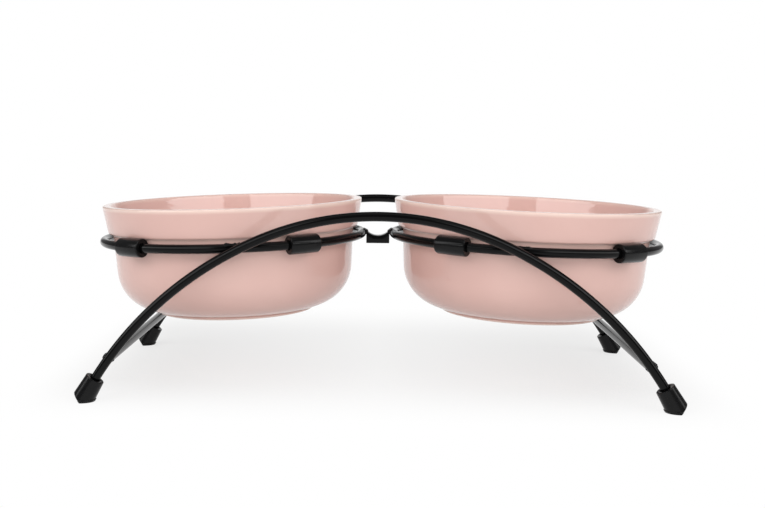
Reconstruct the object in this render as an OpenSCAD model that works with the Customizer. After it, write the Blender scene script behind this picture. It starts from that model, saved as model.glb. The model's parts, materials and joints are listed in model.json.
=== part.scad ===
// Raised feeder for two bowls. Two arches and two rings of round rod are welded
// into a stand that carries two glazed bowls on rubber sleeves.
// X runs along the stand, Y from front to back, Z up from the floor.

/* [Rod] */
// Diameter of the round rod that the stand is bent from
rod_d = 5; // [4:0.5:6]

/* [Bowls] */
// Outside diameter of the body where the ring passes it
body_d = 139.2; // [125:0.2:155]
// Draft of the body's wall in degrees
body_draft = 4; // [1:0.5:7]
// Height of the body from its foot ring up to the shoulder
body_h = 47.1; // [40:0.1:56]
// Radius of the turn from the wall into the base
base_turn_r = 24; // [14:1:30]
// Width of the shoulder that sits over the sleeves
shoulder_w = 2.9; // [2:0.1:3.6]
// Radius on the shoulder's outer edge
shoulder_edge = 1; // [0.6:0.1:1.4]
// Fillet between the shoulder and the body
shoulder_fillet = 0.8; // [0.4:0.1:1.2]
// Height of the flared band from the shoulder to the rim
band_h = 16.1; // [12:0.1:22]
// Flare of the band from the shoulder out to the rim
band_flare = 2.9; // [1:0.1:5]
// Thickness of the wall
wall = 4.6; // [3.6:0.2:6]
// Radius of the lip's outer edge
lip_edge = 0.9; // [0.5:0.1:1.4]
// Radius of the lip's inner edge
lip_inner_edge = 1.4; // [0.5:0.1:1.8]
// Radius that eases the inside of the wall behind the shoulder
inside_ease_r = 30; // [15:1:40]
// Thickness of the floor
floor_t = 5; // [4:0.5:7]
// Outside diameter of the foot ring
foot_ring_d = 91; // [70:1:100]
// Height of the foot ring
foot_ring_h = 1.8; // [1:0.1:3]
// Width of the foot ring
foot_ring_w = 5; // [3:0.5:8]
// Radius on the foot ring's corners
foot_ring_edge = 0.7; // [0.3:0.1:0.9]

/* [Rings] */
// Height of the rings' centreline above the floor
ring_h = 81; // [75:0.5:90]
// Outward lean of the rings and bowls in degrees
ring_lean = 2; // [0:0.5:4]
// Gap between the two rings where they come closest
ring_gap = 13.4; // [8:0.2:20]

/* [Arches] */
// Height of the arch's centreline at its crown
arch_h = 99; // [94:0.5:110]
// Radius of the crown
crown_r = 155; // [140:1:170]
// Half angle of the crown in degrees
crown_a = 24; // [16:1:26]
// Radius of the flanks that run down into the legs
flank_r = 192; // [180:1:210]

/* [Cross bars and link] */
// Height of the cross bars' centreline above the floor
bar_h = 22.6; // [20:0.2:30]
// Height of the block that links the rings
link_h = 7.4; // [6:0.2:10]
// Rise of the link's top corners over the rings' centreline
link_rise = 1.6; // [0:0.2:2.4]
// Depth of the scoop in the link's top
link_scoop = 3.1; // [1:0.1:4]
// Thickness of the link from front to back
link_t = 8; // [5:0.5:12]

/* [Rubber] */
// Wall of the sleeves on the rings
sleeve_wall = 2.6; // [1.6:0.1:3.4]
// Length of a sleeve along its ring
sleeve_l = 17.6; // [10:0.2:24]
// Place of the sleeves on the ring's outer half, in degrees from its front and back
sleeve_outer_a = 40; // [30:0.5:50]
// Place of the sleeves on its inner half
sleeve_inner_a = 36.5; // [30:0.5:50]
// Radius on the ends of the sleeves
sleeve_edge = 0.6; // [0.4:0.1:1.4]
// Outside diameter of a foot at its mouth
foot_d = 10.2; // [8.6:0.2:13]
// Taper of the feet in degrees, wider towards the floor
foot_taper = 3.5; // [0:0.5:6]
// Length of rod that a foot holds
foot_grip = 9; // [7:0.5:14]
// Depth of the flare at a foot's mouth
mouth_flare = 0.8; // [0.4:0.1:1.1]
// Height of the rod's end above the floor
rod_end_h = 4.6; // [4:0.2:8]
// Height of the bevel on a foot's outer side
foot_bevel_h = 5; // [2:0.1:6]
// Slope of that bevel in degrees
foot_bevel_a = 52; // [40:1:65]
// Height of the lip round a foot's sole
sole_h = 1.3; // [0.6:0.1:1.6]
// How far the lip stands out round the sole
sole_lip = 0.4; // [0.2:0.1:0.8]

/* [Welds] */
// Diameter of the weld beads where the arches cross the rings
ring_bead_d = 6.8; // [6:0.2:8]
// Diameter of the weld beads at the ends of the cross bars
bar_bead_d = 7.4; // [6.6:0.2:8.4]
// Diameter of the weld beads on the link
link_bead_d = 4; // [3:0.2:5]

/* [Fits] */
// Room between a bowl's body and the sleeves
body_gap = 0.2; // [0.1:0.05:0.8]
// Room between a bowl's shoulder and the sleeves
seat_gap = 0.3; // [0.2:0.05:0.6]
// Room between rubber and the rod that it grips
grip_gap = 0.12; // [0.1:0.01:0.3]
// Room between a rod's end and the bottom of its foot's bore
rod_end_gap = 0.3; // [0.2:0.1:1]
// Room between rods before they are welded
weld_gap = 0.05; // [0.03:0.01:0.2]

/* [Hidden] */

LEFT = -1;
RIGHT = 1;
FRONT = -1;
REAR = 1;

$fn = 64;
SWEEP_FN = 360;
ARC_STEP = 5;
GLAZE = "#e3b7ad";
BLACK_PAINT = "#202122";
BLACK_RUBBER = "#2b2a2a";

rod_r = rod_d / 2;
sleeve_r = rod_r + sleeve_wall;

// Bowl section, with heights from the ring's plane
body_r = body_d / 2;
shoulder_r = body_r + shoulder_w;
rim_r = shoulder_r + band_flare;

// Rings clear the bowls by the sleeves and their room
ring_r = body_r + body_gap + sleeve_r;
ring_x = ring_gap / 2 + rod_r + ring_r * cos(ring_lean);

// The shoulder's rounded edge lies seat_gap above the round of the sleeves
edge_reach = sleeve_r + seat_gap + shoulder_edge;
edge_in = ring_r - shoulder_r + shoulder_edge;
shoulder_z = sqrt(edge_reach * edge_reach - edge_in * edge_in) - shoulder_edge;
rim_z = shoulder_z + band_h;
base_z = shoulder_z - body_h;
under_z = base_z + foot_ring_h;
floor_z = under_z + floor_t;
foot_ring_root = under_z + floor_t / 2;
function body_at(z) = body_r + z * tan(body_draft);

// Arch centreline: a crown and two flanks of larger radius that meet it in line
crown_z = arch_h - crown_r;
flank_x = (crown_r - flank_r) * sin(crown_a);
flank_z = crown_z + (crown_r - flank_r) * cos(crown_a);
flank_lap = 0.4;
join_step = 0.04;
leg_a = acos((rod_end_h - flank_z) / flank_r);
function leg_x(z) = flank_x + sqrt(flank_r * flank_r - (z - flank_z) * (z - flank_z));
function leg_point(a) = [flank_x + flank_r * sin(a), flank_z + flank_r * cos(a)];

// Ring centreline at an angle from the front towards the middle of the stand
function ring_point(a) = [
    ring_x - ring_r * sin(a) * cos(ring_lean),
    ring_h + ring_r * sin(a) * sin(ring_lean)
];
function ring_depth(a) = ring_r * cos(a);

// The arc of an arch that passes a point: the crown's, or the flank's beyond it
function on_crown(p) = atan2(p[0], p[1] - crown_z) < crown_a;
function arc_centre(p) = on_crown(p) ? [0, crown_z] : [flank_x, flank_z];
function arc_r(p) = on_crown(p) ? crown_r : flank_r;
function off_arch(p) = abs(norm(p - arc_centre(p)) - arc_r(p));
function on_arch(p) = arc_centre(p) + arc_r(p) * unit(p - arc_centre(p));

// The arches stand as close to the rings as the two rods allow where they cross
cross_angles = [for (a = [-10 : 0.1 : 40]) a];
function clear_depth(a) =
    let (off = off_arch(ring_point(a)))
    off < rod_d ? ring_depth(a) + sqrt(rod_d * rod_d - off * off) : 0;
clear_depths = [for (a = cross_angles) clear_depth(a)];
arch_y = max(clear_depths) + weld_gap;
weld_a = cross_angles[search(max(clear_depths), clear_depths)[0]];

// Where the two rods come closest: midway between their centrelines
weld_ring = ring_point(weld_a);
weld_arch = on_arch(weld_ring);
weld_x = (weld_ring[0] + weld_arch[0]) / 2;
weld_z = (weld_ring[1] + weld_arch[1]) / 2;
weld_y = (ring_depth(weld_a) + arch_y) / 2;
welded_d = rod_d + 2 * weld_gap;

// Cross bars end on the inner faces of the legs
bar_x = leg_x(bar_h);
bar_a = acos((bar_h - flank_z) / flank_r);
bar_end = arch_y - rod_r - weld_gap;

// The link fills the gap between the rings
inner_h = ring_h + ring_r * sin(ring_lean);
link_w = ring_gap - 2 * weld_gap;
link_top = inner_h + link_rise;
scoop_r = (link_w * link_w / 4 + link_scoop * link_scoop) / (2 * link_scoop);

// Feet are straight on the last stretch of the legs
grip_span = foot_grip / flank_r * 180 / PI;
foot_a = leg_a - grip_span / 2;
foot_mid = leg_point(foot_a);
foot_reach = foot_d + foot_mid[1] / sin(foot_a);
foot_length = foot_reach + foot_grip / 2;

// The bevel starts where a foot's outer side, which leans by its taper, comes down to foot_bevel_h
foot_widen = tan(foot_taper);
mouth_side = foot_d / 2 + foot_grip / 2 * foot_widen;
bevel_along = (foot_bevel_h - foot_mid[1] - mouth_side * cos(foot_a)) / (sin(foot_a) - foot_widen * cos(foot_a));
bevel_x = foot_mid[0] - bevel_along * cos(foot_a) + (mouth_side - bevel_along * foot_widen) * sin(foot_a);
foot_bore = rod_d + 2 * grip_gap;

// Outline with rounded corners: each corner is [x, y, radius]
function flat2(p) = [p[0], p[1]];
function unit(v) = v / norm(v);
function rounded(a, b, c) =
    let (
        p = flat2(b),
        u = unit(flat2(a) - p),
        v = unit(flat2(c) - p),
        half = acos(u * v) / 2,
        centre = p + unit(u + v) * b[2] / sin(half),
        from = p + u * b[2] / tan(half) - centre,
        to = p + v * b[2] / tan(half) - centre,
        turn = acos(unit(from) * unit(to)) * sign(from[0] * to[1] - from[1] * to[0]),
        start = atan2(from[1], from[0]),
        steps = max(3, ceil(abs(turn) / ARC_STEP))
    )
    [for (i = [0 : steps]) centre + b[2] * [cos(start + turn * i / steps), sin(start + turn * i / steps)]];
function outline(corners) = [
    for (i = [0 : len(corners) - 1])
        let (
            a = corners[(i + len(corners) - 1) % len(corners)],
            b = corners[i],
            c = corners[(i + 1) % len(corners)]
        )
        each b[2] > 0 ? rounded(a, b, c) : [flat2(b)]
];

module bowl_section() {
    inner_base_r = body_at(floor_z) - wall;
    polygon(outline([
        [0, under_z, 0],
        [body_at(under_z), under_z, base_turn_r],
        [body_at(shoulder_z), shoulder_z, shoulder_fillet],
        [shoulder_r, shoulder_z, shoulder_edge],
        [rim_r, rim_z, lip_edge],
        [rim_r - wall, rim_z, lip_inner_edge],
        [body_at(shoulder_z) - wall, shoulder_z, inside_ease_r],
        [inner_base_r, floor_z, base_turn_r - wall],
        [0, floor_z, 0]
    ]));
    polygon(outline([
        [foot_ring_d / 2 - foot_ring_w, base_z, foot_ring_edge],
        [foot_ring_d / 2, base_z, foot_ring_edge],
        [foot_ring_d / 2, foot_ring_root, 0],
        [foot_ring_d / 2 - foot_ring_w, foot_ring_root, 0]
    ]));
}

// The stand's left half is its right half mirrored, and its rear half its front half
module to_side(side) {
    if (side == LEFT)
        mirror([1, 0, 0])
            children();
    else
        children();
}

module to_end(end) {
    if (end == REAR)
        mirror([0, 1, 0])
            children();
    else
        children();
}

// Everything on a ring shares the ring's lean
module on_ring(side) {
    translate([side * ring_x, 0, ring_h])
        rotate([0, side * ring_lean, 0])
            children();
}

module bowl(side) {
    color(GLAZE)
        on_ring(side)
            rotate_extrude($fn = SWEEP_FN)
                bowl_section();
}

// Arc of rod in the XZ plane between two angles from the vertical
module rod_arc(x, z, radius, from, to, d) {
    translate([x, 0, z])
        rotate([90, 0, 0])
            rotate([0, 0, 90 - to])
                rotate_extrude(angle = to - from, $fn = SWEEP_FN)
                    translate([radius, 0])
                        circle(d = d);
}

module flank(end, d) {
    translate([0, end * arch_y, 0])
        rod_arc(flank_x, flank_z, flank_r, crown_a - flank_lap, leg_a, d);
}

// The flanks' arcs reach a little into the crown's, a hair thinner, so that they join
module arch(end) {
    color(BLACK_PAINT) {
        translate([0, end * arch_y, 0])
            rod_arc(0, crown_z, crown_r, -crown_a, crown_a, rod_d);
        for (side = [LEFT, RIGHT])
            to_side(side)
                flank(end, rod_d - 2 * join_step);
    }
}

module hoop(d) {
    rotate_extrude($fn = SWEEP_FN)
        translate([ring_r, 0])
            circle(d = d);
}

module ring(side) {
    color(BLACK_PAINT)
        on_ring(side)
            hoop(rod_d);
}

// Block with a scooped top
module link_bar(length) {
    rotate([90, 0, 0])
        linear_extrude(height = length, center = true)
            difference() {
                translate([-link_w / 2, link_top - link_h])
                    square([link_w, link_h]);
                translate([0, link_top - link_scoop + scoop_r])
                    circle(r = scoop_r);
            }
}

module ring_link() {
    color(BLACK_PAINT)
        link_bar(link_t);
}

module cross_bar(side) {
    color(BLACK_PAINT)
        translate([side * bar_x, 0, bar_h])
            rotate([90, 0, 0])
                cylinder(d = rod_d, h = 2 * bar_end, center = true);
}

// Sleeve bent round the ring, with a rounded end that reaches out of its body
module sleeve(side, end, towards) {
    from_end = towards == side ? sleeve_outer_a : sleeve_inner_a;
    middle = atan2(end * cos(from_end), towards * sin(from_end));
    body_span = (sleeve_l - 2 * sleeve_edge) / ring_r * 180 / PI;
    color(BLACK_RUBBER)
        on_ring(side)
            rotate([0, 0, middle])
                difference() {
                    union() {
                        rotate([0, 0, -body_span / 2])
                            rotate_extrude(angle = body_span, $fn = SWEEP_FN)
                                translate([ring_r, 0])
                                    circle(r = sleeve_r);
                        for (s = [-1, 1])
                            rotate([0, 0, s * body_span / 2])
                                translate([ring_r, 0, 0])
                                    rotate([-s * 90, 0, 0])
                                        sleeve_end();
                    }
                    hoop(rod_d + 2 * grip_gap);
                }
}

module sleeve_end() {
    rotate_extrude()
        polygon(outline([
            [0, -sleeve_edge, 0],
            [sleeve_r - join_step, -sleeve_edge, 0],
            [sleeve_r - join_step, sleeve_edge, sleeve_edge],
            [0, sleeve_edge, 0]
        ]));
}

// Frame of a foot: Z runs up the leg, from the middle of the stretch it holds
module on_leg() {
    translate([foot_mid[0], 0, foot_mid[1]])
        rotate([0, foot_a - 90, 0])
            children();
}

module foot_body(d, height) {
    room = 4 * foot_d;
    intersection() {
        on_leg()
            translate([0, 0, -foot_reach])
                cylinder(d1 = d + 2 * foot_length * foot_widen, d2 = d, h = foot_length);
        translate([foot_mid[0] - room, -room, 0])
            cube([2 * room, 2 * room, height]);
    }
}

module foot_bevel() {
    room = 4 * foot_d;
    translate([bevel_x, 0, foot_bevel_h])
        rotate([0, 90 - foot_bevel_a, 0])
            translate([0, -room / 2, -room / 2])
                cube(room);
}

module foot(side, end) {
    color(BLACK_RUBBER)
        translate([0, end * arch_y, 0])
            to_side(side)
                difference() {
                    union() {
                        foot_body(foot_d, 4 * foot_d);
                        foot_body(foot_d + 2 * sole_lip, sole_h);
                    }
                    foot_bevel();
                    on_leg() {
                        translate([0, 0, -foot_grip / 2 - rod_end_gap])
                            cylinder(d = foot_bore, h = foot_grip + foot_d);
                        translate([0, 0, foot_grip / 2 - mouth_flare])
                            cylinder(d1 = foot_bore, d2 = foot_bore + 4 * mouth_flare, h = 2 * mouth_flare);
                    }
                }
}

// Beads fill the corners round each weld and leave the pieces as they are.
// A bead's poles lie to the front and back, where the rods take them away.
module bead(d) {
    rotate([90, 0, 0])
        rotate([0, 0, 90])
            sphere(d = d);
}

module rod_cut(d, length) {
    cylinder(d = d, h = length, center = true);
}

// Over a small bead a bent rod is all but straight, and the cut has room for its bow
function bow(radius, bead_d) = radius - sqrt(radius * radius - bead_d * bead_d / 4);

// The stretch of the front arch that a ring's bead lies on
module welded_arc() {
    centre = arc_centre(weld_ring);
    middle = atan2(weld_ring[0] - centre[0], weld_ring[1] - centre[1]);
    span = 2 * ring_bead_d / arc_r(weld_ring) * 180 / PI;
    translate([0, FRONT * arch_y, 0])
        rod_arc(centre[0], centre[1], arc_r(weld_ring), middle - span, middle + span, welded_d);
}

module ring_bead() {
    difference() {
        translate([weld_x, -weld_y, weld_z])
            bead(ring_bead_d);
        on_ring(RIGHT)
            hoop(welded_d);
        welded_arc();
    }
}

module link_bead() {
    difference() {
        translate([ring_gap / 2, 0, inner_h + link_bead_d / 2 + weld_gap])
            bead(link_bead_d);
        translate([ring_gap / 2 + rod_r, 0, inner_h])
            rotate([90, 0, 0])
                rod_cut(welded_d + 2 * bow(ring_r, link_bead_d), 2 * link_bead_d);
        link_bar(link_t + link_bead_d);
    }
}

module bar_bead() {
    difference() {
        translate([bar_x, rod_r - arch_y, bar_h])
            bead(bar_bead_d);
        translate([bar_x, -arch_y, bar_h])
            rotate([0, 90 + bar_a, 0])
                rod_cut(welded_d + 2 * bow(flank_r, bar_bead_d), 2 * bar_bead_d);
        translate([bar_x, 0, bar_h])
            rotate([90, 0, 0])
                rod_cut(welded_d, 2 * (bar_end + weld_gap));
    }
}

module ring_welds() {
    color(BLACK_PAINT)
        for (side = [LEFT, RIGHT])
            to_side(side) {
                link_bead();
                for (end = [FRONT, REAR])
                    to_end(end)
                        ring_bead();
            }
}

module bar_welds() {
    color(BLACK_PAINT)
        for (side = [LEFT, RIGHT], end = [FRONT, REAR])
            to_side(side)
                to_end(end)
                    bar_bead();
}

bowl(LEFT);  // bowl_left
bowl(RIGHT);  // bowl_right
arch(FRONT);  // front_arch
arch(REAR);  // rear_arch
ring(LEFT);  // ring_left
ring(RIGHT);  // ring_right
ring_link();
cross_bar(LEFT);  // cross_bar_left
cross_bar(RIGHT);  // cross_bar_right
sleeve(LEFT, FRONT, LEFT);  // sleeve_left_front_outer
sleeve(LEFT, FRONT, RIGHT);  // sleeve_left_front_inner
sleeve(LEFT, REAR, LEFT);  // sleeve_left_rear_outer
sleeve(LEFT, REAR, RIGHT);  // sleeve_left_rear_inner
sleeve(RIGHT, FRONT, RIGHT);  // sleeve_right_front_outer
sleeve(RIGHT, FRONT, LEFT);  // sleeve_right_front_inner
sleeve(RIGHT, REAR, RIGHT);  // sleeve_right_rear_outer
sleeve(RIGHT, REAR, LEFT);  // sleeve_right_rear_inner
foot(LEFT, FRONT);  // foot_front_left
foot(RIGHT, FRONT);  // foot_front_right
foot(LEFT, REAR);  // foot_rear_left
foot(RIGHT, REAR);  // foot_rear_right
ring_welds();
bar_welds();
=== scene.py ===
"""Raised feeder: two glazed bowls in a welded stand of black rod, with rubber sleeves and feet.
Every piece here takes the place of its CAD node, in the same frame, in metres."""

import json
import math

import bmesh
import bpy
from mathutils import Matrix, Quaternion, Vector


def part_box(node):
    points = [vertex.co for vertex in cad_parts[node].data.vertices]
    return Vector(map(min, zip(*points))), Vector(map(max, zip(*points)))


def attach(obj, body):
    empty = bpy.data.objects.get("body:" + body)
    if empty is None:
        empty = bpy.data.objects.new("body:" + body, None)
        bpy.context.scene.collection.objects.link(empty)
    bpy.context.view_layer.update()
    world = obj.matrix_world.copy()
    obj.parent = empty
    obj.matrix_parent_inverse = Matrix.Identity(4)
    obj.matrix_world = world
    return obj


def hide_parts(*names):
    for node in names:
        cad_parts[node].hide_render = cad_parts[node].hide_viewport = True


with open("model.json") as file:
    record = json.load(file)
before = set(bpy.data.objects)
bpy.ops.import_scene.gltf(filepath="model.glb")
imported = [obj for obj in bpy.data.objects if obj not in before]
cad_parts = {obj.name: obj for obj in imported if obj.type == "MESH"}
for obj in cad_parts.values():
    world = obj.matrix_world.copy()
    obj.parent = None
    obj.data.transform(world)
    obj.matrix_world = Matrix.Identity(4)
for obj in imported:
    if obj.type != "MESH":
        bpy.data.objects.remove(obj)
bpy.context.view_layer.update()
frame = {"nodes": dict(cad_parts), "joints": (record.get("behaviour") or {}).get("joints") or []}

MM = 0.001
SIDES = {"left": -1, "right": 1}
ENDS = {"front": -1, "rear": 1}

# ---------------------------------------------------------------- sizes

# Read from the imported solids
bar_low, bar_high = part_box("cross_bar_right")
ring_low, ring_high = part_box("ring_right")
arch_low, arch_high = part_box("rear_arch")
lift = next(j["axis"] for j in frame["joints"] if j["name"] == "bowl_right_lift")
ROD_R = (bar_high.z - bar_low.z) / 2
BAR_X = (bar_low.x + bar_high.x) / 2
BAR_Z = (bar_low.z + bar_high.z) / 2
BAR_END = bar_high.y
RING_R = (ring_high.y - ring_low.y) / 2 - ROD_R
RING_X = (ring_low.x + ring_high.x) / 2
RING_Z = (ring_low.z + ring_high.z) / 2
LEAN = math.atan2(lift[0], lift[2])
ARCH_Y = (arch_low.y + arch_high.y) / 2
ARCH_TOP = arch_high.z - ROD_R

# Arch: a crown and two flanks of larger radius that meet it in line, down to the legs' ends
CROWN_R = 155 * MM
CROWN_HALF = math.radians(24)
FLANK_R = 192 * MM
ROD_END = 4.6 * MM
CROWN_Z = ARCH_TOP - CROWN_R
FLANK_X = (CROWN_R - FLANK_R) * math.sin(CROWN_HALF)
FLANK_Z = CROWN_Z + (CROWN_R - FLANK_R) * math.cos(CROWN_HALF)
LEG_HALF = math.acos((ROD_END - FLANK_Z) / FLANK_R)

# Bowl section: radii, with heights from the ring's plane
BODY_R = 69.6 * MM
DRAFT = math.tan(math.radians(4))
SHOULDER_R = 72.5 * MM
SHOULDER_Z = 4.422 * MM
RIM_R = 75.4 * MM
RIM_Z = 20.522 * MM
WALL = 4.6 * MM
UNDER_Z = -40.878 * MM
FLOOR_Z = -35.878 * MM
FOOT_RING_R = 45.5 * MM
FOOT_RING_W = 5 * MM
FOOT_RING_Z = -42.678 * MM
BASE_TURN = 24 * MM
INNER_TURN = 30 * MM
# Thin and pooled glaze, and the light and shade painted at the shoulder, fade out over this
# length of the section
GLAZE_AND_PAINTED_LIGHT_FADE = 0.6 * MM

# Rubber sleeves: the outer pair of a ring stands further round than the inner pair
SLEEVE_R = ROD_R + 2.6 * MM
SLEEVE_BORE = ROD_R + 0.12 * MM
SLEEVE_L = 17.6 * MM
SLEEVE_OUTER = math.radians(40)
SLEEVE_INNER = math.radians(36.5)
SLEEVE_CORNER = 0.6 * MM
SLEEVE_BORE_CORNER = 0.3 * MM
SLEEVE_SEAM = 0.5 * MM

# Feet and link: the fineness of a foot's skin, the link's ground corners, how sharp an edge has
# to be to get one, and how sharp an edge still shows as a crease
FOOT_VOXEL = 0.16 * MM
LINK_CORNER = 0.5 * MM
LINK_EDGE = math.radians(30)
LINK_CREASE = math.radians(35)

# Welds: on a ring the run lies outside and above the rod's middle line, on the link two lie out
# from its end and down from its top, and on a bar it goes round the bar's end
RING_RUN_STEP = 1.1 * MM
RING_RUN_OUT = 1.5 * MM
RING_RUN_UP = 1.7 * MM
LINK_RUN_HALF = 3.0 * MM
LINK_RUNS = ((0.3 * MM, 0.9 * MM), (1.3 * MM, 0.4 * MM))
BAR_RUN_R = ROD_R - 0.2 * MM
BAR_RUN_X = BAR_X + 0.35 * MM
BAR_RUN_Z = BAR_Z + 0.22 * MM
BAR_RUN_Y = BAR_END - 0.3 * MM

# Fineness: steps round a bowl, a sleeve, a rod and a ring, along an arch and a bar, and along
# and round a weld
BOWL_STEPS = 180
SLEEVE_STEPS = 40
ROD_SIDES = 40
RING_STEPS = 240
CROWN_STEPS = 32
FLANK_STEPS = 60
BAR_STEPS = 40
RUN_STEPS = 8
CIRCLE_STEPS = 24

# Fineness of turned outlines: the longest step on a straight and in a bend, and the fewest steps
# in a bend. A bend of more than WIDE_BEND's radius is a sweep of the wall, not an edge
BOWL_STEP = 1.6 * MM
SLEEVE_STEP = 1.0 * MM
BEND_STEP = math.radians(6)
BEND_LEAST = 8
WIDE_BEND = 5 * MM

# Points closer than this are one point, in a turned piece and in a copy of a CAD mesh
TURNED_JOIN = 0.005 * MM
CAD_JOIN = 0.002 * MM

# ---------------------------------------------------------------- nodes

# Sockets with doubled names go by number: a colour Mix's share, two colours and result,
# and a Random Value's least, most and result
SHARE, COLOUR_A, COLOUR_B, MIXED = 0, 6, 7, 2
LEAST, MOST, DRAWN = 2, 3, 1


def wire(tree, node, inputs):
    """Sets or links a node's inputs, by name or number. A node stands for its first output."""
    for key, value in inputs.items():
        if isinstance(value, bpy.types.Node):
            value = value.outputs[0]
        if isinstance(value, bpy.types.NodeSocket):
            tree.links.new(value, node.inputs[key])
        else:
            node.inputs[key].default_value = value


def add_node(tree, kind, inputs=None, **settings):
    """Adds a node with its settings and inputs."""
    node = tree.nodes.new(kind)
    for name, value in settings.items():
        setattr(node, name, value)
    wire(tree, node, inputs or {})
    return node


def linear(hex_colour):
    """sRGB hex to the linear colour that shaders take."""
    parts = [int(hex_colour[i : i + 2], 16) / 255 for i in (1, 3, 5)]
    return [c / 12.92 if c <= 0.04045 else ((c + 0.055) / 1.055) ** 2.4 for c in parts] + [1.0]


# ---------------------------------------------------------------- materials


def new_material(name):
    """A new material. Returns it with its tree, its shader and the place on the piece."""
    material = bpy.data.materials.new(name)
    material.use_nodes = True
    tree = material.node_tree
    shader = tree.nodes["Principled BSDF"]
    place = add_node(tree, "ShaderNodeTexCoord").outputs["Object"]
    return material, tree, shader, place


def gloss_pink_glaze():
    """Gloss glaze over stoneware, dipped and fired: smooth as glass with a slow ripple, thin and
    pale where it drew off the edges, deeper where it gathered in the hollows. The strip just
    under the bowl's shoulder is painted paler as light, and the shoulder's lower edge a touch
    deeper as shade."""
    material, tree, shader, place = new_material("gloss_pink_glaze")
    # Clouds of slightly paler and deeper pink, about 40 mm across
    cloud = add_node(
        tree, "ShaderNodeTexNoise", {"Vector": place, "Scale": 1 / (40 * MM), "Detail": 2.0}
    )
    pink = add_node(
        tree,
        "ShaderNodeMix",
        {SHARE: cloud, COLOUR_A: linear("#d6ada4"), COLOUR_B: linear("#e0bbb2")},
        data_type="RGBA",
    ).outputs[MIXED]
    # The bowl's own attribute is over 0 where the glaze is thin and where light is painted paler
    # under the shoulder. It is under 0 where the glaze pooled and where shade is painted on the
    # shoulder's lower edge
    glaze_and_painted_light = add_node(tree, "ShaderNodeAttribute", attribute_name="glaze_and_painted_light").outputs["Fac"]
    thin_glaze_and_painted_light = add_node(tree, "ShaderNodeMapRange", {"Value": glaze_and_painted_light, "From Max": 1.0})
    pooled_glaze_and_painted_shade = add_node(tree, "ShaderNodeMapRange", {"Value": glaze_and_painted_light, "From Max": -1.0})
    deeper = add_node(
        tree,
        "ShaderNodeMix",
        {SHARE: pooled_glaze_and_painted_shade, COLOUR_A: pink, COLOUR_B: linear("#c48f82")},
        data_type="RGBA",
    ).outputs[MIXED]
    colour = add_node(
        tree,
        "ShaderNodeMix",
        {SHARE: thin_glaze_and_painted_light, COLOUR_A: deeper, COLOUR_B: linear("#ecd3c8")},
        data_type="RGBA",
    ).outputs[MIXED]
    # The fired surface ripples in shallow waves of about 9 mm, which bend what it mirrors
    ripple = add_node(
        tree, "ShaderNodeTexNoise", {"Vector": place, "Scale": 1 / (9 * MM), "Detail": 2.0}
    )
    sheen = add_node(
        tree, "ShaderNodeMapRange", {"Value": ripple, "To Min": 0.03, "To Max": 0.06}
    )
    bump = add_node(
        tree, "ShaderNodeBump", {"Height": ripple, "Strength": 1.0, "Distance": 0.22 * MM}
    )
    wire(tree, shader, {"Base Color": colour, "Roughness": sheen, "Normal": bump, "IOR": 1.55})
    return material


def satin_black_powder_coat():
    """Black powder coat baked on steel rod: satin, with the fine orange peel of melted powder."""
    material, tree, shader, place = new_material("satin_black_powder_coat")
    # The coat's colour and sheen drift a little over about 25 mm
    drift = add_node(
        tree, "ShaderNodeTexNoise", {"Vector": place, "Scale": 1 / (25 * MM), "Detail": 2.0}
    )
    colour = add_node(
        tree,
        "ShaderNodeMix",
        {SHARE: drift, COLOUR_A: linear("#030303"), COLOUR_B: linear("#070708")},
        data_type="RGBA",
    ).outputs[MIXED]
    satin = add_node(
        tree, "ShaderNodeMapRange", {"Value": drift, "To Min": 0.10, "To Max": 0.15}
    )
    # Real peel is under 1 mm across; it is drawn at 1.5 mm so that it shows
    peel = add_node(
        tree, "ShaderNodeTexNoise", {"Vector": place, "Scale": 1 / (1.5 * MM), "Detail": 2.0}
    )
    bump = add_node(
        tree, "ShaderNodeBump", {"Height": peel, "Strength": 1.0, "Distance": 0.01 * MM}
    )
    wire(
        tree,
        shader,
        {
            "Base Color": colour,
            "Roughness": satin,
            "Normal": bump,
            "IOR": 1.5,
            "Specular IOR Level": 0.16,
        },
    )
    return material


def moulded_black_rubber():
    """Moulded black rubber: soft sheen, a faint bloom of grey and the mould's fine grain."""
    material, tree, shader, place = new_material("moulded_black_rubber")
    # Bloom gathers in patches of about 6 mm
    bloom = add_node(
        tree, "ShaderNodeTexNoise", {"Vector": place, "Scale": 1 / (6 * MM), "Detail": 3.0}
    )
    colour = add_node(
        tree,
        "ShaderNodeMix",
        {SHARE: bloom, COLOUR_A: linear("#08080a"), COLOUR_B: linear("#0f0f0f")},
        data_type="RGBA",
    ).outputs[MIXED]
    soft = add_node(
        tree, "ShaderNodeMapRange", {"Value": bloom, "To Min": 0.16, "To Max": 0.26}
    )
    # Mould grain is about 0.2 mm; it is drawn at 0.8 mm so that it shows
    grain = add_node(
        tree, "ShaderNodeTexNoise", {"Vector": place, "Scale": 1 / (0.8 * MM), "Detail": 1.0}
    )
    bump = add_node(
        tree, "ShaderNodeBump", {"Height": grain, "Strength": 1.0, "Distance": 0.015 * MM}
    )
    wire(
        tree,
        shader,
        {
            "Base Color": colour,
            "Roughness": soft,
            "Normal": bump,
            "IOR": 1.52,
            "Specular IOR Level": 0.18,
        },
    )
    return material


GLAZE = gloss_pink_glaze()
PAINT = satin_black_powder_coat()
RUBBER = moulded_black_rubber()

# ---------------------------------------------------------------- trees of geometry nodes


def new_tree(name, **sockets):
    """A tree that takes a path or profile and the named sizes. Returns it with its inputs."""
    tree = bpy.data.node_groups.new(name, "GeometryNodeTree")
    tree.interface.new_socket("Geometry", in_out="INPUT", socket_type="NodeSocketGeometry")
    for label, kind in sockets.items():
        tree.interface.new_socket(label, in_out="INPUT", socket_type="NodeSocket" + kind)
    tree.interface.new_socket("Geometry", in_out="OUTPUT", socket_type="NodeSocketGeometry")
    return tree, add_node(tree, "NodeGroupInput").outputs


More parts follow.
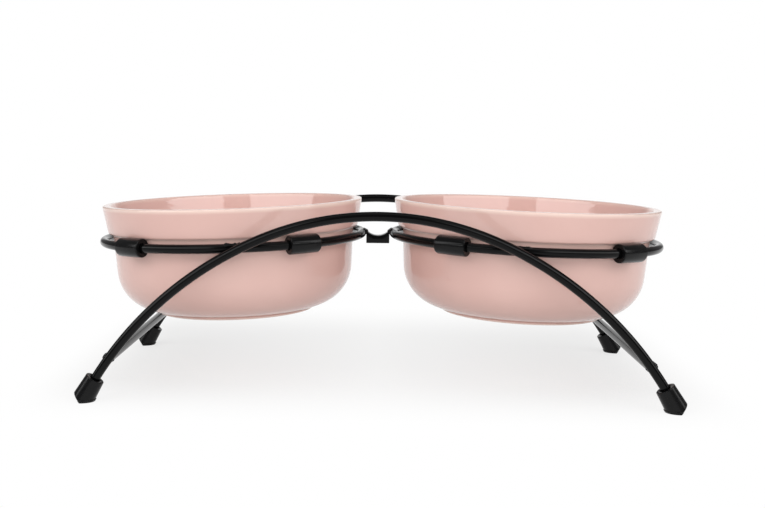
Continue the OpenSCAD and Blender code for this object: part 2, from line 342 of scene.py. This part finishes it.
def end_tree(tree, geometry, material):
    """Ends a tree with plain, smooth geometry in its material."""
    whole = add_node(tree, "GeometryNodeRealizeInstances", {"Geometry": geometry})
    smooth = add_node(tree, "GeometryNodeSetShadeSmooth", {"Geometry": whole})
    coated = add_node(
        tree, "GeometryNodeSetMaterial", {"Geometry": smooth, "Material": material}
    )
    add_node(tree, "NodeGroupOutput", {"Geometry": coated})
    return tree


def turned(tree, profile, steps):
    """Turns a profile in the XZ plane about Z: each column of a grid is the profile, turned on.
    The profile's glaze, with the light and shade painted into it, goes with it."""
    size = add_node(tree, "GeometryNodeAttributeDomainSize", {"Geometry": profile})
    count = size.outputs["Point Count"]
    columns = add_node(tree, "FunctionNodeIntegerMath", {0: steps, 1: 1}, operation="ADD")
    grid = add_node(tree, "GeometryNodeMeshGrid", {"Vertices X": columns, "Vertices Y": count})
    index = add_node(tree, "GeometryNodeInputIndex")
    column = add_node(
        tree, "FunctionNodeIntegerMath", {0: index, 1: count}, operation="DIVIDE_FLOOR"
    )
    row = add_node(tree, "FunctionNodeIntegerMath", {0: index, 1: count}, operation="MODULO")
    share = add_node(tree, "ShaderNodeMath", {0: column, 1: steps}, operation="DIVIDE")
    angle = add_node(tree, "ShaderNodeMath", {0: share, 1: 2 * math.pi}, operation="MULTIPLY")
    here = add_node(tree, "GeometryNodeInputPosition")
    point = add_node(
        tree,
        "GeometryNodeSampleIndex",
        {"Geometry": profile, "Value": here, "Index": row},
        data_type="FLOAT_VECTOR",
    )
    place = add_node(
        tree,
        "ShaderNodeVectorRotate",
        {"Vector": point, "Angle": angle},
        rotation_type="Z_AXIS",
    )
    shell = add_node(tree, "GeometryNodeSetPosition", {"Geometry": grid, "Position": place})
    glaze_and_painted_light = add_node(
        tree, "GeometryNodeInputNamedAttribute", {"Name": "glaze_and_painted_light"}, data_type="FLOAT"
    )
    depth = add_node(
        tree,
        "GeometryNodeSampleIndex",
        {"Geometry": profile, "Value": glaze_and_painted_light, "Index": row},
        data_type="FLOAT",
    )
    kept = add_node(
        tree,
        "GeometryNodeStoreNamedAttribute",
        {"Geometry": shell, "Name": "glaze_and_painted_light", "Value": depth},
        data_type="FLOAT",
        domain="POINT",
    )
    return add_node(
        tree, "GeometryNodeMergeByDistance", {"Geometry": kept, "Distance": TURNED_JOIN}
    )


def bowl_tree():
    """A profile turned about its axis, then set down in its leaning ring."""
    tree, given = new_tree(
        "turned_bowl", Steps="Int", Lean="Float", Centre="Vector", Material="Material"
    )
    shell = turned(tree, given["Geometry"], given["Steps"])
    lean = add_node(tree, "ShaderNodeCombineXYZ", {"Y": given["Lean"]})
    leant = add_node(
        tree,
        "GeometryNodeTransform",
        {"Geometry": shell, "Translation": given["Centre"], "Rotation": lean},
    )
    return end_tree(tree, leant, given["Material"])


def sleeve_tree():
    """A turned sleeve bent to the ring's curve, and four of them set round the ring."""
    tree, given = new_tree(
        "ring_sleeves",
        Steps="Int",
        Bend="Float",
        Place="Float",
        Skew="Float",
        Lean="Float",
        Centre="Vector",
        Material="Material",
    )
    tube = turned(tree, given["Geometry"], given["Steps"])
    # The tube's length, along Z, is laid round the ring
    here = add_node(tree, "GeometryNodeInputPosition")
    part = add_node(tree, "ShaderNodeSeparateXYZ", {0: here}).outputs
    out = add_node(tree, "ShaderNodeMath", {0: part["X"], 1: given["Bend"]}, operation="ADD")
    up = add_node(tree, "ShaderNodeMath", {0: part["Y"], 1: -1.0}, operation="MULTIPLY")
    along = add_node(
        tree, "ShaderNodeMath", {0: part["Z"], 1: given["Bend"]}, operation="DIVIDE"
    )
    flat = add_node(tree, "ShaderNodeCombineXYZ", {"X": out, "Z": up})
    curved = add_node(
        tree, "ShaderNodeVectorRotate", {"Vector": flat, "Angle": along}, rotation_type="Z_AXIS"
    )
    bent = add_node(tree, "GeometryNodeSetPosition", {"Geometry": tube, "Position": curved})
    # Four places: on either hand of the ring's front and back
    spots = add_node(tree, "GeometryNodePoints", {"Count": 4})
    index = add_node(tree, "GeometryNodeInputIndex")
    hand = add_node(tree, "FunctionNodeIntegerMath", {0: index, 1: 2}, operation="MODULO")
    end = add_node(tree, "FunctionNodeIntegerMath", {0: index, 1: 2}, operation="DIVIDE_FLOOR")
    sign = add_node(
        tree, "ShaderNodeMath", {0: hand, 1: 2.0, 2: -1.0}, operation="MULTIPLY_ADD"
    )
    face = add_node(tree, "ShaderNodeMath", {0: end, 1: 2.0, 2: -1.0}, operation="MULTIPLY_ADD")
    quarter = add_node(
        tree, "ShaderNodeMath", {0: given["Skew"], 1: math.pi / 2}, operation="ADD"
    )
    middle = add_node(
        tree, "ShaderNodeMath", {0: face, 1: quarter, 2: math.pi}, operation="MULTIPLY_ADD"
    )
    turn = add_node(
        tree, "ShaderNodeMath", {0: sign, 1: given["Place"], 2: middle}, operation="MULTIPLY_ADD"
    )
    spin = add_node(tree, "ShaderNodeCombineXYZ", {"Z": turn})
    four = add_node(
        tree,
        "GeometryNodeInstanceOnPoints",
        {"Points": spots, "Instance": bent, "Rotation": spin},
    )
    lean = add_node(tree, "ShaderNodeCombineXYZ", {"Y": given["Lean"]})
    leant = add_node(
        tree,
        "GeometryNodeTransform",
        {"Geometry": four, "Translation": given["Centre"], "Rotation": lean},
    )
    return end_tree(tree, leant, given["Material"])


def rod_tree():
    """Round rod along a path."""
    tree, given = new_tree("bent_rod", Radius="Float", Sides="Int", Material="Material")
    path = add_node(tree, "GeometryNodeMeshToCurve", {"Mesh": given["Geometry"]})
    section = add_node(
        tree,
        "GeometryNodeCurvePrimitiveCircle",
        {"Resolution": given["Sides"], "Radius": given["Radius"]},
    )
    rod_skin = add_node(
        tree,
        "GeometryNodeCurveToMesh",
        {"Curve": path, "Profile Curve": section, "Fill Caps": True},
    )
    return end_tree(tree, rod_skin, given["Material"])


def weld_tree():
    """Weld metal along a path: a run of overlapping drops of uneven size, melted into one."""
    tree, given = new_tree(
        "weld_run",
        Drop="Float",
        Spacing="Float",
        Uneven="Float",
        Voxel="Float",
        Seed="Int",
        Material="Material",
    )
    path = add_node(tree, "GeometryNodeMeshToCurve", {"Mesh": given["Geometry"]})
    drops = add_node(
        tree,
        "GeometryNodeCurveToPoints",
        {"Curve": path, "Length": given["Spacing"]},
        mode="LENGTH",
    )
    least = add_node(
        tree, "ShaderNodeMath", {0: 1.0, 1: given["Uneven"]}, operation="SUBTRACT"
    )
    most = add_node(tree, "ShaderNodeMath", {0: 1.0, 1: given["Uneven"]}, operation="ADD")
    size = add_node(
        tree,
        "FunctionNodeRandomValue",
        {LEAST: least, MOST: most, "Seed": given["Seed"]},
        data_type="FLOAT",
    )
    ball = add_node(
        tree, "GeometryNodeMeshIcoSphere", {"Radius": given["Drop"], "Subdivisions": 3}
    )
    run = add_node(
        tree,
        "GeometryNodeInstanceOnPoints",
        {"Points": drops, "Instance": ball, "Scale": size.outputs[DRAWN]},
    )
    solid = add_node(tree, "GeometryNodeRealizeInstances", {"Geometry": run})
    volume = add_node(
        tree,
        "GeometryNodeMeshToVolume",
        {"Mesh": solid, "Voxel Size": given["Voxel"], "Interior Band Width": 0.5 * MM},
        resolution_mode="VOXEL_SIZE",
    )
    skin = add_node(tree, "GeometryNodeVolumeToMesh", {"Volume": volume, "Threshold": 0.1})
    return end_tree(tree, skin, given["Material"])


BOWL_TREE = bowl_tree()
SLEEVE_TREE = sleeve_tree()
ROD_TREE = rod_tree()
WELD_TREE = weld_tree()

# ---------------------------------------------------------------- making pieces


def add_object(name, data):
    """A new object at the origin."""
    thing = bpy.data.objects.new(name, data)
    bpy.context.scene.collection.objects.link(thing)
    return thing


def modify(piece, name, kind, **settings):
    """Adds a modifier with its settings."""
    modifier = piece.modifiers.new(name, kind)
    for key, value in settings.items():
        setattr(modifier, key, value)
    return modifier


def made_plain(piece):
    """The piece as its modifiers leave it, as a plain mesh under the same name."""
    graph = bpy.context.evaluated_depsgraph_get()
    mesh = bpy.data.meshes.new_from_object(
        piece.evaluated_get(graph), preserve_all_data_layers=True, depsgraph=graph
    )
    name = piece.name
    bpy.data.objects.remove(piece)
    mesh.name = name
    return add_object(name, mesh)


def grow(name, paths, tree, glaze_and_painted_light=None, **sizes):
    """Runs a tree on paths, each a list of points and whether it closes."""
    points, edges = [], []
    for path, closed in paths:
        first = len(points)
        points += path
        edges += [(first + i, first + i + 1) for i in range(len(path) - 1)]
        if closed:
            edges.append((len(points) - 1, first))
    mesh = bpy.data.meshes.new(name)
    mesh.from_pydata(points, edges, [])
    if glaze_and_painted_light:
        mesh.attributes.new("glaze_and_painted_light", "FLOAT", "POINT").data.foreach_set("value", glaze_and_painted_light)
    piece = add_object(name, mesh)
    modifier = modify(piece, tree.name, "NODES", node_group=tree)
    for socket in tree.interface.items_tree:
        if socket.in_out == "INPUT" and socket.name in sizes:
            modifier[socket.identifier] = sizes[socket.name]
    return made_plain(piece)


def fit(piece, body, slot, *nodes):
    """The piece rides on its body, in place of its CAD nodes."""
    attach(piece, body)
    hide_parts(*nodes)


def rounded(corners, step):
    """An open outline with rounded corners. A corner is (x, z, radius, glaze): glaze is over 0
    where it runs thin and where light is painted on as paler glaze, and under 0 where it pools
    and where shade is painted on as deeper glaze. Returns the points and the glaze at each."""
    spots = [Vector(c[:2]) for c in corners]
    outline, depth = [], []

    def add(point, value):
        """Goes on to a point, in even steps."""
        if outline:
            gap = point - outline[-1]
            pieces = max(1, math.ceil(gap.length / step))
            for _ in range(1, pieces):
                outline.append(outline[-1] + gap / pieces)
                depth.append(0.0)
        outline.append(point)
        depth.append(value)

    for i, (_, _, radius, value) in enumerate(corners):
        if not radius:
            add(spots[i], value)
            continue
        back = (spots[i - 1] - spots[i]).normalized()
        on = (spots[i + 1] - spots[i]).normalized()
        half = back.angle(on) / 2
        centre = spots[i] + (back + on).normalized() * radius / math.sin(half)
        first = spots[i] + back * radius / math.tan(half) - centre
        last = spots[i] + on * radius / math.tan(half) - centre
        turn = math.atan2(first.x * last.y - first.y * last.x, first.dot(last))
        parts = max(BEND_LEAST, math.ceil(abs(turn) / BEND_STEP))
        for k in range(parts + 1):
            a = turn * k / parts
            spoke = Vector((
                first.x * math.cos(a) - first.y * math.sin(a),
                first.x * math.sin(a) + first.y * math.cos(a),
            ))
            # Along a wide bend the glaze deepens towards the middle
            share = math.sin(math.pi * k / parts) if radius > WIDE_BEND else 1.0
            add(centre + spoke, value * share)
    return outline, depth


def eased(outline, depth, reach):
    """Spreads the depth of the glaze, and of its painted light and shade, along the outline, so
    that it fades over a real distance.
    """
    soft = []
    for p in outline:
        pulls = [math.exp(-(((p - q).length / reach) ** 2)) for q in outline]
        soft.append(sum(w * d for w, d in zip(pulls, depth)) / sum(pulls))
    return soft


# ---------------------------------------------------------------- bowls


def body_at(z):
    """The body's outer radius at a height, before its corners are rounded."""
    return BODY_R + z * DRAFT


def bowl_profile():
    """From the middle of the underside out over the foot ring, up the outside, over the lip and
    down inside."""
    return rounded(
        [
            # Underside and foot ring
            (0, UNDER_Z, 0, 0),
            (FOOT_RING_R - FOOT_RING_W, UNDER_Z, 0.8 * MM, -0.6),
            (FOOT_RING_R - FOOT_RING_W, FOOT_RING_Z, 0.7 * MM, 0.8),
            (FOOT_RING_R, FOOT_RING_Z, 0.7 * MM, 1.0),
            (FOOT_RING_R, UNDER_Z, 0.5 * MM, -0.8),
            # Body and shoulder
            (body_at(UNDER_Z), UNDER_Z, BASE_TURN, 0),
            # Painted light: the body just under the shoulder is painted paler, as if lit, though
            # the shoulder and ring shade it
            (body_at(SHOULDER_Z), SHOULDER_Z, 1.2 * MM, 0.4),
            # Painted shade: the shoulder's lower edge gets a touch of the deeper colour, for the
            # dark line under the band
            (SHOULDER_R, SHOULDER_Z, 1.5 * MM, -0.1),
            # Lip
            (RIM_R, RIM_Z, 0.9 * MM, 0.8),
            (RIM_R - WALL, RIM_Z, 1.4 * MM, 0.4),
            # Inside
            (body_at(SHOULDER_Z) - WALL, SHOULDER_Z, INNER_TURN, 0),
            (body_at(FLOOR_Z) - WALL, FLOOR_Z, BASE_TURN - WALL, -0.5),
            (0, FLOOR_Z, 0, 0),
        ],
        BOWL_STEP,
    )


bowl_outline, bowl_depth = bowl_profile()
bowl_glaze_and_painted_light = eased(bowl_outline, bowl_depth, GLAZE_AND_PAINTED_LIGHT_FADE)
for side, sign in SIDES.items():
    bowl = grow(
        f"glazed_bowl_{side}",
        [([(p.x, 0, p.y) for p in bowl_outline], False)],
        BOWL_TREE,
        glaze_and_painted_light=bowl_glaze_and_painted_light,
        Steps=BOWL_STEPS,
        Lean=sign * LEAN,
        Centre=(sign * RING_X, 0, RING_Z),
        Material=GLAZE,
    )
    fit(bowl, f"bowl_{side}", "pink_glaze", f"bowl_{side}")

# ---------------------------------------------------------------- rods


def arch_path(y):
    """Half the arch from its crown down to a leg's end, and the other half mirrored."""
    half = [
        (CROWN_R * math.sin(a), CROWN_Z + CROWN_R * math.cos(a))
        for a in (CROWN_HALF * i / CROWN_STEPS for i in range(CROWN_STEPS + 1))
    ] + [
        (FLANK_X + FLANK_R * math.sin(a), FLANK_Z + FLANK_R * math.cos(a))
        for a in (
            CROWN_HALF + (LEG_HALF - CROWN_HALF) * i / FLANK_STEPS
            for i in range(1, FLANK_STEPS + 1)
        )
    ]
    return [(-x, y, z) for x, z in reversed(half[1:])] + [(x, y, z) for x, z in half]


def ring_point(sign, angle, radius, height=0.0):
    """A point by a ring, at an angle from +X: the radius and height are in the ring's plane."""
    flat = Vector((radius * math.cos(angle), radius * math.sin(angle), height))
    flat.rotate(Quaternion((0, 1, 0), sign * LEAN))
    return flat + Vector((sign * RING_X, 0, RING_Z))


def ring_path(sign):
    """The middle line of a ring's rod."""
    return [ring_point(sign, 2 * math.pi * i / RING_STEPS, RING_R) for i in range(RING_STEPS)]


def bar_path(sign):
    """The middle line of a cross bar, from front to rear."""
    half = BAR_STEPS // 2
    return [(sign * BAR_X, BAR_END * (i / half - 1), BAR_Z) for i in range(BAR_STEPS + 1)]


def rod(name, path, closed, node):
    """A painted rod of the stand."""
    piece = grow(
        name, [(path, closed)], ROD_TREE, Radius=ROD_R, Sides=ROD_SIDES, Material=PAINT
    )
    fit(piece, "stand", "black_paint", node)


for end, sign in ENDS.items():
    rod(f"bent_arch_{end}", arch_path(sign * ARCH_Y), False, f"{end}_arch")
for side, sign in SIDES.items():
    rod(f"hoop_{side}", ring_path(sign), True, f"ring_{side}")
    rod(f"floor_bar_{side}", bar_path(sign), False, f"cross_bar_{side}")

# ---------------------------------------------------------------- sleeves


def sleeve_profile():
    """A closed tube wall: from a seam in the bore, round the outside and back to the seam."""
    half = SLEEVE_L / 2
    outline, _ = rounded(
        [
            (SLEEVE_BORE, -half + SLEEVE_SEAM, 0, 0),
            (SLEEVE_BORE, -half, SLEEVE_BORE_CORNER, 0),
            (SLEEVE_R, -half, SLEEVE_CORNER, 0),
            (SLEEVE_R, half, SLEEVE_CORNER, 0),
            (SLEEVE_BORE, half, SLEEVE_BORE_CORNER, 0),
            (SLEEVE_BORE, -half + SLEEVE_SEAM, 0, 0),
        ],
        SLEEVE_STEP,
    )
    return outline


sleeve_outline = sleeve_profile()
for side, sign in SIDES.items():
    sleeves = grow(
        f"sleeves_{side}",
        [([(p.x, 0, p.y) for p in sleeve_outline], False)],
        SLEEVE_TREE,
        Steps=SLEEVE_STEPS,
        Bend=RING_R,
        Place=(SLEEVE_OUTER + SLEEVE_INNER) / 2,
        Skew=sign * (SLEEVE_OUTER - SLEEVE_INNER) / 2,
        Lean=sign * LEAN,
        Centre=(sign * RING_X, 0, RING_Z),
        Material=RUBBER,
    )
    fit(
        sleeves,
        "stand",
        "black_rubber",
        *[f"sleeve_{side}_{end}_{place}" for end in ENDS for place in ("outer", "inner")],
    )

# ---------------------------------------------------------------- feet and link


def cad_copy(name, node, material):
    """A copy of a CAD node's mesh with its loose triangles joined."""
    mesh = frame["nodes"][node].data.copy()
    piece = add_object(name, mesh)
    shape = bmesh.new()
    shape.from_mesh(mesh)
    bmesh.ops.remove_doubles(shape, verts=shape.verts, dist=CAD_JOIN)
    shape.to_mesh(mesh)
    shape.free()
    mesh.materials.clear()
    mesh.materials.append(material)
    return piece


for end in ENDS:
    for side in SIDES:
        foot = cad_copy(f"rubber_foot_{end}_{side}", f"foot_{end}_{side}", RUBBER)
        modify(
            foot,
            "moulded skin",
            "REMESH",
            mode="VOXEL",
            voxel_size=FOOT_VOXEL,
            use_smooth_shade=True,
        )
        modify(foot, "soft corners", "SMOOTH", factor=0.5, iterations=12)
        modify(foot, "fewer faces", "DECIMATE", ratio=0.3)
        fit(made_plain(foot), "stand", "black_rubber", f"foot_{end}_{side}")

link = cad_copy("scooped_link", "ring_link", PAINT)
modify(
    link,
    "ground corners",
    "BEVEL",
    width=LINK_CORNER,
    segments=3,
    limit_method="ANGLE",
    angle_limit=LINK_EDGE,
)
link = made_plain(link)
link.data.shade_smooth()
link.data.set_sharp_from_angle(angle=LINK_CREASE)
fit(link, "stand", "black_paint", "ring_link")

# ---------------------------------------------------------------- welds


def crossing_angle():
    """Where the right ring passes the front arch, as an angle from +X. It is looked for from the
    ring's front towards the middle of the stand."""

    def off(angle):
        """How far the ring is from the arch's flank, seen from the front."""
        p = ring_point(1, angle, RING_R)
        return abs(math.hypot(p.x - FLANK_X, p.z - FLANK_Z) - FLANK_R)

    front, reach, tries = -90, 30, 600
    return min((math.radians(front - reach * i / tries) for i in range(tries)), key=off)


def ring_weld_paths():
    """A run over each ring beside its arch, and a pair along each end of the link's top."""
    # The run starts a quarter of its length before the crossing
    crossing = crossing_angle()
    start = RUN_STEPS / 4
    ring_run = [
        ring_point(
            1,
            crossing + (i - start) * RING_RUN_STEP / RING_R,
            RING_R + RING_RUN_OUT,
            RING_RUN_UP,
        )
        for i in range(RUN_STEPS + 1)
    ]
    link_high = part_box("ring_link")[1]
    runs = []
    for sign in SIDES.values():
        for end in ENDS.values():
            runs.append(([(sign * p.x, -end * p.y, p.z) for p in ring_run], False))
        # Two lines side by side fill the notch between the ring and the link's top corner
        for out, down in LINK_RUNS:
            edge = sign * (link_high.x + out)
            top = link_high.z - down
            shares = (2 * i / RUN_STEPS - 1 for i in range(RUN_STEPS + 1))
            runs.append(([(edge, share * LINK_RUN_HALF, top) for share in shares], False))
    return runs


def bar_weld_paths():
    """A ring of weld metal round each end of a cross bar. It was laid from outside, so it stands
    further out there."""
    runs = []
    for sign in SIDES.values():
        for end in ENDS.values():
            circle = [
                (
                    sign * BAR_RUN_X + BAR_RUN_R * math.cos(a),
                    end * BAR_RUN_Y,
                    BAR_RUN_Z + BAR_RUN_R * math.sin(a),
                )
                for a in (2 * math.pi * i / CIRCLE_STEPS for i in range(CIRCLE_STEPS))
            ]
            runs.append((circle, True))
    return runs


def weld(name, paths, node, **sizes):
    """Painted weld metal of the stand."""
    piece = grow(
        name, paths, WELD_TREE, Uneven=0.22, Voxel=0.2 * MM, Material=PAINT, **sizes
    )
    fit(piece, "stand", "black_paint", node)


weld(
    "ring_weld_runs",
    ring_weld_paths(),
    "ring_welds",
    Drop=1.3 * MM,
    Spacing=1.0 * MM,
    Seed=4,
)
weld(
    "bar_weld_runs",
    bar_weld_paths(),
    "bar_welds",
    Drop=0.95 * MM,
    Spacing=1.1 * MM,
    Seed=9,
)

# ---------------------------------------------------------------- floor, light and camera


def studio_floor():
    """White sweep of paper. What the camera and gloss see is lifted to white, except in a painted
    shade between the legs, where the lit paper and the object's shadow show through."""
    material, tree, shader, place = new_material("white_paper_sweep")
    wire(
        tree,
        shader,
        {"Base Color": linear("#d8d8d7"), "Roughness": 0.9, "Specular IOR Level": 0.1},
    )
    path = add_node(tree, "ShaderNodeLightPath").outputs
    seen = path["Is Camera Ray"]
    for ray in ("Is Glossy Ray", "Is Transmission Ray"):
        seen = add_node(tree, "ShaderNodeMath", {0: seen, 1: path[ray]}, operation="MAXIMUM")
    # Painted shade: between the legs the lift is held back by position, palest in the middle, so
    # that the lit paper and the object's shadow show
    along = add_node(tree, "ShaderNodeSeparateXYZ", {0: place}).outputs
    across = add_node(tree, "ShaderNodeMath", {0: along["X"]}, operation="ABSOLUTE").outputs[0]
    shade = add_node(
        tree,
        "ShaderNodeMapRange",
        {"Value": across, "From Max": 0.12, "To Min": 0.18, "To Max": 0.32},
    )
    # It fades out beside the legs, in front of them and behind them: from none to full, in metres
    fades = ((across, 0.20, 0.14), (along["Y"], -0.12, -0.02), (along["Y"], 0.26, 0.12))
    for value, none, full in fades:
        kept = add_node(
            tree,
            "ShaderNodeMapRange",
            {"Value": value, "From Min": none, "From Max": full},
            interpolation_type="SMOOTHSTEP",
        )
        shade = add_node(tree, "ShaderNodeMath", {0: shade, 1: kept}, operation="MULTIPLY")
    level = add_node(tree, "ShaderNodeMath", {0: 1.0, 1: shade}, operation="SUBTRACT")
    lifted = add_node(tree, "ShaderNodeMath", {0: seen, 1: level}, operation="MULTIPLY")
    white = add_node(tree, "ShaderNodeEmission", {"Color": (1, 1, 1, 1), "Strength": 1.0})
    mixed = add_node(tree, "ShaderNodeMixShader", {0: lifted, 1: shader, 2: white})
    wire(tree, tree.nodes["Material Output"], {"Surface": mixed})
    return material


def paper_sweep():
    """A flat sheet of the paper, far wider than the view."""
    reach = 8
    corners = [(-reach, -reach, 0), (reach, -reach, 0), (reach, reach, 0), (-reach, reach, 0)]
    sheet = bpy.data.meshes.new("paper_sweep")
    sheet.from_pydata(corners, [], [(0, 1, 2, 3)])
    sheet.materials.append(studio_floor())
    return add_object("paper_sweep", sheet)


def studio_world():
    """White for the camera. Gloss sees that white behind the object, and the dim studio round it
    elsewhere."""
    dim_level, wall_glow = 0.2, 0.85
    world = bpy.data.worlds.new("white_studio")
    bpy.context.scene.world = world
    world.use_nodes = True
    tree = world.node_tree
    tree.nodes.clear()
    path = add_node(tree, "ShaderNodeLightPath").outputs
    towards = add_node(tree, "ShaderNodeTexCoord").outputs["Generated"]
    back = add_node(tree, "ShaderNodeSeparateXYZ", {0: towards}).outputs["Y"]
    behind = add_node(
        tree,
        "ShaderNodeMapRange",
        {"Value": back, "From Min": 0.88, "From Max": 0.98},
        interpolation_type="SMOOTHSTEP",
    )
    gloss = add_node(
        tree, "ShaderNodeMath", {0: path["Is Glossy Ray"], 1: behind}, operation="MULTIPLY"
    )
    seen = path["Is Camera Ray"]
    for ray in (gloss, path["Is Transmission Ray"]):
        seen = add_node(tree, "ShaderNodeMath", {0: seen, 1: ray}, operation="MAXIMUM")
    # The white wall behind also lights the object's back
    wall = add_node(
        tree,
        "ShaderNodeMapRange",
        {"Value": back, "From Min": 0.1, "From Max": 0.8},
        interpolation_type="SMOOTHSTEP",
    )
    matte = add_node(
        tree, "ShaderNodeMath", {0: 1.0, 1: path["Is Glossy Ray"]}, operation="SUBTRACT"
    )
    glow = add_node(tree, "ShaderNodeMath", {0: wall, 1: matte}, operation="MULTIPLY")
    level = add_node(
        tree, "ShaderNodeMath", {0: glow, 1: wall_glow, 2: dim_level}, operation="MULTIPLY_ADD"
    )
    dim = add_node(tree, "ShaderNodeBackground", {"Color": (1, 1, 1, 1), "Strength": level})
    white = add_node(tree, "ShaderNodeBackground", {"Color": (1, 1, 1, 1), "Strength": 1.0})
    both = add_node(tree, "ShaderNodeMixShader", {0: seen, 1: dim, 2: white})
    add_node(tree, "ShaderNodeOutputWorld", {"Surface": both})


def soft_box(name, place, size, watts, roll=0.0, mirrored=True):
    """A soft box that faces the bowls. One that isn't mirrored lights the object without showing
    in the gloss."""
    bowls = Vector((0, 0, 0.08))
    lamp = bpy.data.lights.new(name, "AREA")
    lamp.shape = "RECTANGLE"
    lamp.size, lamp.size_y = size
    lamp.energy = watts
    box = add_object(name, lamp)
    box.location = place
    face = (bowls - Vector(place)).to_track_quat("-Z", "Y")
    box.rotation_euler = (face @ Quaternion((0, 0, 1), roll)).to_euler()
    box.visible_camera = False
    box.visible_glossy = mirrored


def photo_camera():
    """The camera fitted to the photograph: where it stands, where it looks and the lens."""
    photo_width, focal_length, axis_shift = 765, 1119.68, 70.28  # in pixels
    film_width = 36  # in millimetres
    lens = bpy.data.cameras.new("photo_camera")
    lens.sensor_width = film_width
    lens.lens = film_width * focal_length / photo_width
    # The photograph is cropped, with the lens's axis left of its middle
    lens.shift_x = axis_shift / photo_width
    camera = add_object("photo_camera", lens)
    camera.location = (1.18 * MM, -650.03 * MM, 142.66 * MM)
    yaw, pitch, roll = (math.radians(a) for a in (-3.467, 6.312, -0.280))
    look = Vector((
        math.sin(yaw) * math.cos(pitch),
        math.cos(yaw) * math.cos(pitch),
        -math.sin(pitch),
    ))
    turn = look.to_track_quat("-Z", "Y") @ Quaternion((0, 0, 1), -roll)
    camera.rotation_euler = turn.to_euler()
    bpy.context.scene.camera = camera


paper_sweep()
studio_world()
# The long side boxes slope down towards the back, as their reflections inside the bowls show
for side, sign in SIDES.items():
    soft_box(
        f"{side}_box",
        place=(sign * 1.57, -1.20, 1.2),
        size=(2.80, 0.95),
        watts=26.1,
        roll=-sign * math.radians(14),
    )
soft_box("top_box", place=(0, -0.35, 1.3), size=(1.4, 0.8), watts=2.0)
soft_box("front_fill", place=(0, -1.1, 0.25), size=(2.8, 0.3), watts=6.0, mirrored=False)
photo_camera()

bpy.context.scene.view_settings.view_transform = "Standard"
